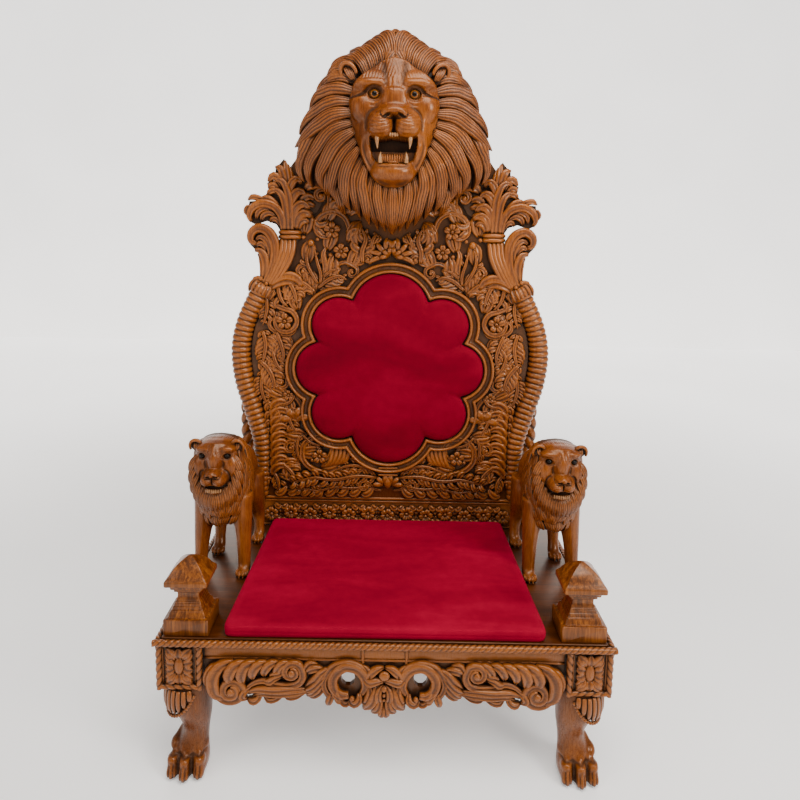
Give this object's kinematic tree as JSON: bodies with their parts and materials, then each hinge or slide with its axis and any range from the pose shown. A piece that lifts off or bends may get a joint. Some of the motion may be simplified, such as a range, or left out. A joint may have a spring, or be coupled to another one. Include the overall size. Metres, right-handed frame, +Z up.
{
  "type": "carved throne",
  "caption": "High-backed carved wooden throne with a velvet seat, a lobed velvet back, standing lions at the arms and a roaring lion-head crest.",
  "frame": {"origin": "on the floor, below the middle of the bounding box", "axes": "+Z up, the throne faces -Y, +X to the right of someone facing it"},
  "size_m": [1.2108, 0.8444, 2.106],
  "materials": {
    "carved_wood": "semi-gloss varnished teak, dark in the recesses and golden on the edges",
    "dark_wood": "darker semi-gloss varnished teak with visible grain",
    "velvet": "crimson cotton velvet with a soft sheen"
  },
  "bodies": {
    "root": {"seat_deck": "dark_wood", "front_rope_moulding": "carved_wood", "right_rope_moulding": "carved_wood", "left_rope_moulding": "carved_wood", "right_front_leg": "carved_wood", "left_front_leg": "carved_wood", "right_back_leg": "carved_wood", "left_back_leg": "carved_wood", "front_apron": "carved_wood", "right_side_rail": "carved_wood", "left_side_rail": "carved_wood", "back_rail": "dark_wood", "seat_cushion": "velvet", "right_pedestal": "dark_wood", "left_pedestal": "dark_wood", "right_lion": "carved_wood", "left_lion": "carved_wood", "lower_carved_rail": "carved_wood", "right_reeded_column": "carved_wood", "left_reeded_column": "carved_wood", "right_spiral_post": "carved_wood", "left_spiral_post": "carved_wood", "back_panel": "carved_wood", "medallion_frame": "carved_wood", "back_cushion": "velvet", "right_capital": "carved_wood", "left_capital": "carved_wood", "crest_lion_head": "carved_wood"}
  },
  "joints": []
}
